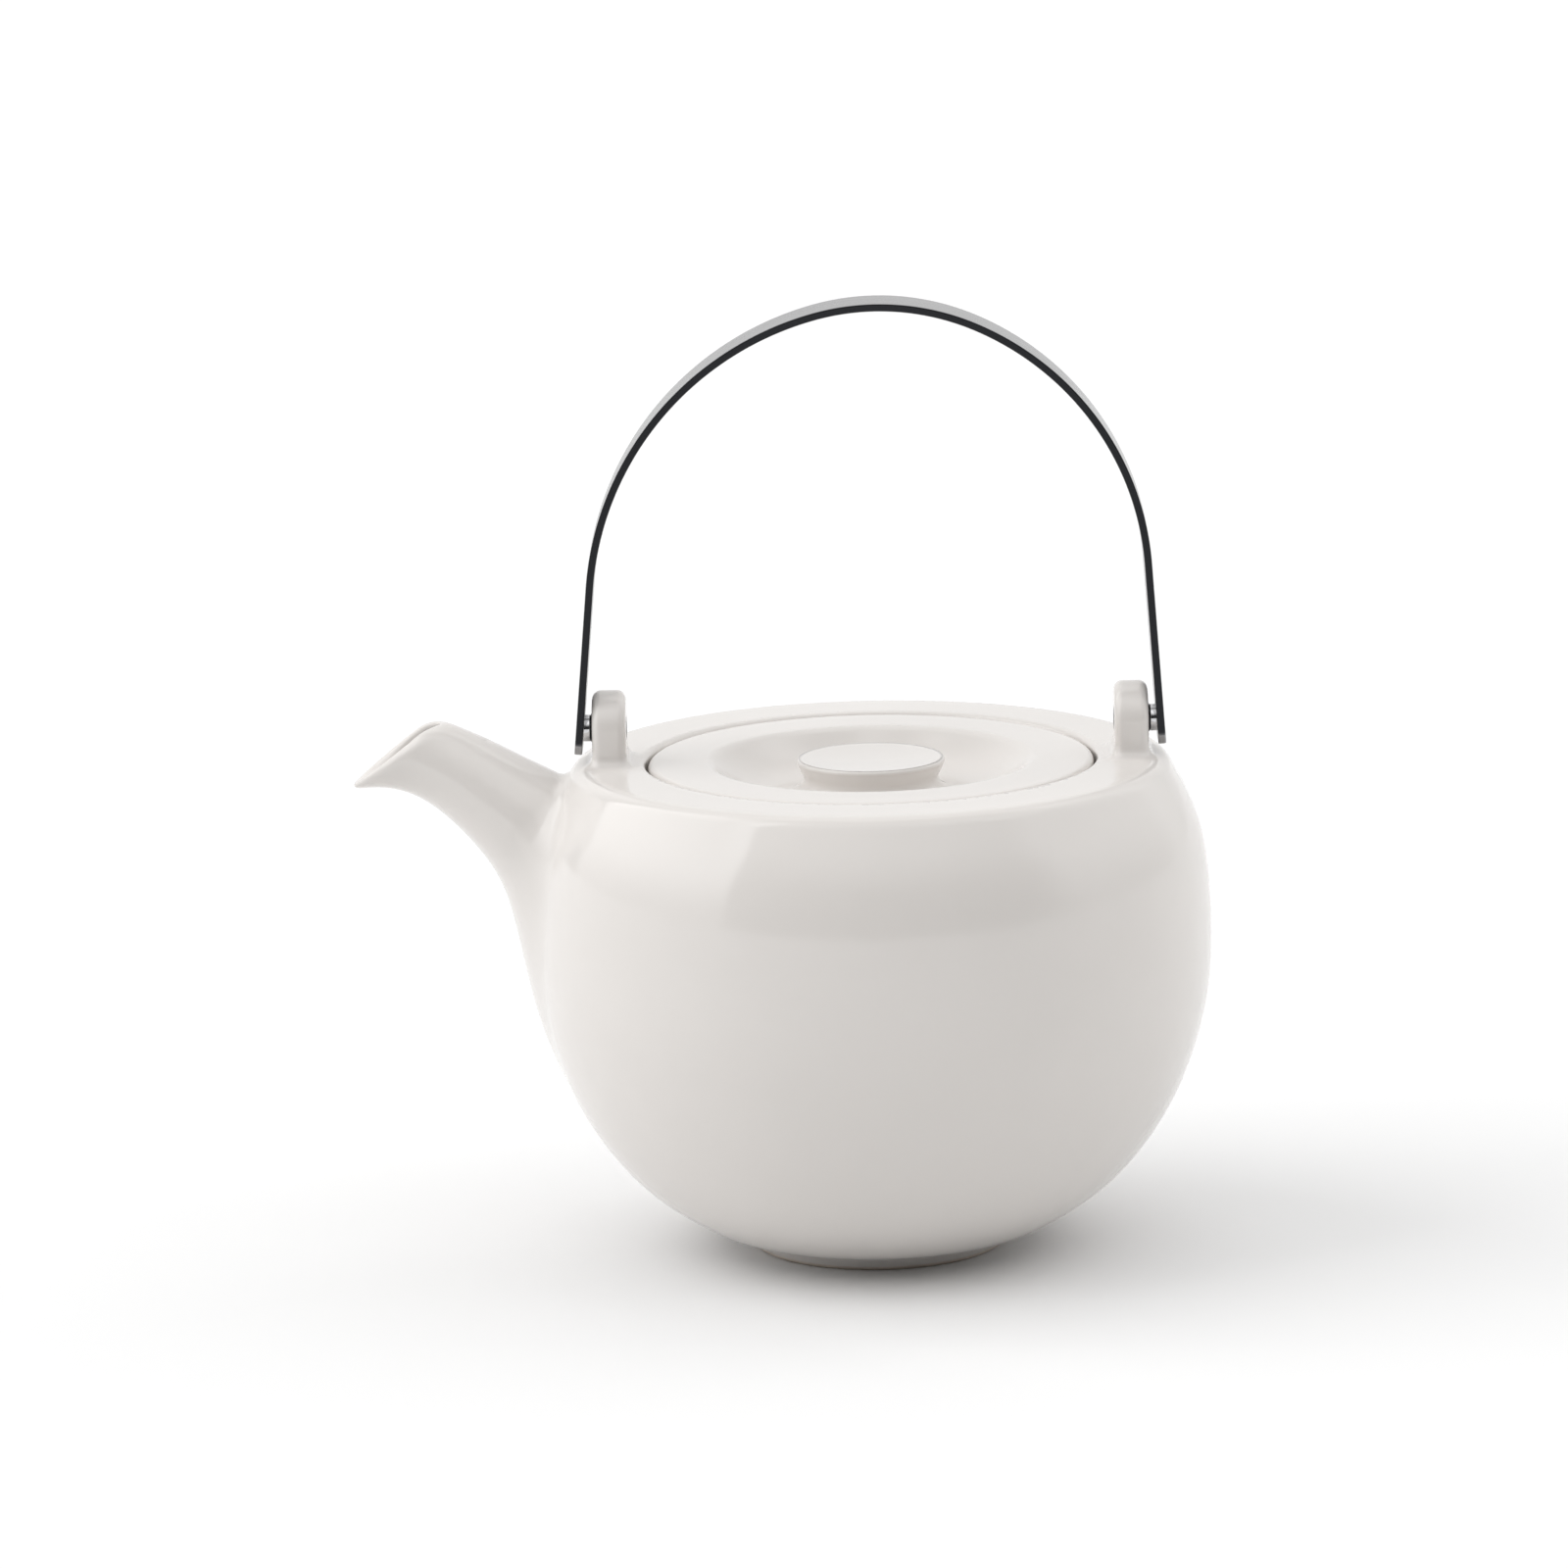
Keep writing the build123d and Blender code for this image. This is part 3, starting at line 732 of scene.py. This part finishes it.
def brushed(name, colour, light, rough, stretch, on_strip):
    """Bare steel with fine lines drawn along the piece."""
    tree, shader, place = start_material(name)
    object_place = place
    if on_strip:
        place = tree.add("ShaderNodeUVMap", {"uv_map": "strip"}).outputs[0]
    lines = tree.noise(place, 1.0, 4.0, stretch)
    cloud = tree.noise(place, 35.0, 3.0)
    steel = tree.mix(lines, (*colour, 1), (*light, 1))
    if on_strip:
        # painted reflection: the cut edges are painted near-black, standing in for the dark studio front they
        # mirror, down to just above the rounded ends; below that they are painted only a quarter as dark,
        # where they face the white porcelain
        _, y, z = tree.add("ShaderNodeSeparateXYZ", Vector=object_place).outputs
        edge = tree.maths("MULTIPLY", tree.band(tree.maths("ABSOLUTE", y), 0.00682, 0.00690),
                          tree.band(z, 0.1212, 0.1226, 0.25, 1.0))
        steel = tree.mix(edge, steel, (0.030, 0.031, 0.034, 1))
    link(tree, steel, shader, "Base Color")
    mottled = tree.maths("ADD", tree.maths("MULTIPLY", lines, 0.10), tree.maths("MULTIPLY", cloud, 0.10))
    link(tree, tree.maths("ADD", mottled, rough - 0.10), shader, "Roughness")
    bump = tree.add("ShaderNodeBump", Height=lines, Strength=0.35, Distance=0.00002)
    link(tree, bump.outputs[0], shader, "Normal")
    shader.inputs["Metallic"].default_value = 1.0
    if on_strip:
        tangent = tree.add("ShaderNodeTangent", {"direction_type": "UV_MAP", "uv_map": "strip"})
        link(tree, tangent.outputs[0], shader, "Tangent")
        shader.inputs["Anisotropic"].default_value = 0.55


brushed("strap_steel", (0.27, 0.27, 0.275), (0.36, 0.36, 0.365), 0.26, (40.0, 5200.0, 1.0), True)
brushed("infuser_steel", (0.52, 0.515, 0.51), (0.64, 0.635, 0.625), 0.30, (260.0, 260.0, 4200.0), False)
brushed("pivot_steel", (0.60, 0.60, 0.61), (0.68, 0.68, 0.69), 0.12, (3800.0, 300.0, 300.0), False)

tree, shader, place = start_material("bush_plastic")
speck = tree.noise(place, 1400.0, 3.0)
link(tree, tree.mix(speck, (0.012, 0.012, 0.013, 1), (0.026, 0.026, 0.028, 1)), shader, "Base Color")
link(tree, tree.band(speck, 0.2, 0.8, 0.42, 0.60), shader, "Roughness")

for name in ("infuser_rim", "infuser_wall", "infuser_base", "infuser_tab_front", "infuser_tab_back"):
    node[name].data.materials.clear()
    node[name].data.materials.append(finish["infuser_steel"])

# ---------------------------------------------------------------- floor, studio light and camera
floor_mesh = bpy.data.meshes.new("floor")
floor_half = 9.0
floor_mesh.from_pydata([(-floor_half, -floor_half, 0), (floor_half, -floor_half, 0),
                        (floor_half, floor_half, 0), (-floor_half, floor_half, 0)], [], [(0, 1, 2, 3)])
floor = bpy.data.objects.new("floor", floor_mesh)
bpy.context.scene.collection.objects.link(floor)
finish["floor"] = bpy.data.materials.new("floor")
finish["floor"].use_nodes = True
tree, shader, place = start_material("floor")
tone = tree.noise(place, 3.0, 2.0)
link(tree, tree.mix(tone, (0.835, 0.835, 0.835, 1), (0.85, 0.85, 0.85, 1)), shader, "Base Color")
shader.inputs["Roughness"].default_value = 0.9
shader.inputs["Specular IOR Level"].default_value = 0.15
floor_mesh.materials.append(finish["floor"])

world = bpy.data.worlds.new("studio")
bpy.context.scene.world = world
world.use_nodes = True
tree = Nodes(world.node_tree)
way = tree.add("ShaderNodeSeparateXYZ", Vector=tree.add("ShaderNodeTexCoord").outputs["Generated"])
x, y, z = way.outputs
turn = tree.maths("MULTIPLY", tree.maths("ARCTAN2", x, tree.maths("MULTIPLY", y, -1.0)), 180 / pi)
rise = tree.maths("MULTIPLY", tree.maths("ARCSINE", z), 180 / pi)


def panel(turn_low, turn_high, turn_soft, rise_low, rise_high, rise_soft, strength):
    """A lit region of the studio, in degrees round from the front and up from level."""
    sides = tree.maths("MULTIPLY", tree.band(turn, turn_low - turn_soft, turn_low + turn_soft),
                       tree.band(turn, turn_high - turn_soft, turn_high + turn_soft, 1.0, 0.0))
    ends = tree.maths("MULTIPLY", tree.band(rise, rise_low - rise_soft, rise_low + rise_soft),
                      tree.band(rise, rise_high - rise_soft, rise_high + rise_soft, 1.0, 0.0))
    return tree.maths("MULTIPLY", tree.maths("MULTIPLY", sides, ends), strength)


light = 0.03
for lit in (
    panel(-124.0, -52.0, 2.0, -20.0, 64.0, 5.0, 0.7),
    panel(-124.0, -52.0, 2.0, 14.0, 64.0, 15.0, 1.75),
    panel(66.0, 138.0, 10.0, -20.0, 62.0, 8.0, 0.62),
    panel(66.0, 138.0, 10.0, 12.0, 62.0, 14.0, 0.7),
    panel(-60.0, 70.0, 6.0, 34.0, 72.0, 14.0, 1.15),
    tree.maths("MULTIPLY", tree.band(tree.maths("ABSOLUTE", turn), 118.0, 150.0), 0.85),
    tree.band(rise, 40.0, 72.0, 0.0, 0.55),
):
    light = tree.maths("ADD", lit, light)
world.node_tree.links.new(light, world.node_tree.nodes["Background"].inputs["Strength"])
world.node_tree.nodes["Background"].inputs["Color"].default_value = (1.0, 1.0, 1.0, 1)


def look_at_with_offset(camera, target, distance, elevation, roll, offset, lens_px):
    """Stand in front of the target and aim so that it lands at an offset from the picture's middle."""
    toward = Vector((0, cos(elevation), -sin(elevation)))
    camera.location = target - toward * distance
    straight = toward.to_track_quat("-Z", "Y") @ Matrix.Rotation(-roll, 3, "Z").to_quaternion()
    seen = Vector((offset[0], -offset[1], -lens_px)).normalized()
    camera.rotation_mode = "QUATERNION"
    camera.rotation_quaternion = straight @ seen.rotation_difference(Vector((0, 0, -1)))


frame_px = 1600
lens_px = 8650.0
target, distance = Vector((0, 0, 0.0607)), 2.0
camera = bpy.data.objects.new("camera", bpy.data.cameras.new("camera"))
bpy.context.scene.collection.objects.link(camera)
camera.data.sensor_width = 36.0
camera.data.lens = lens_px / frame_px * camera.data.sensor_width
look_at_with_offset(camera, target, distance, radians(13.2), radians(1.1), (93.06, 209.1), lens_px)
bpy.context.scene.camera = camera
bpy.context.scene.view_settings.view_transform = "Standard"
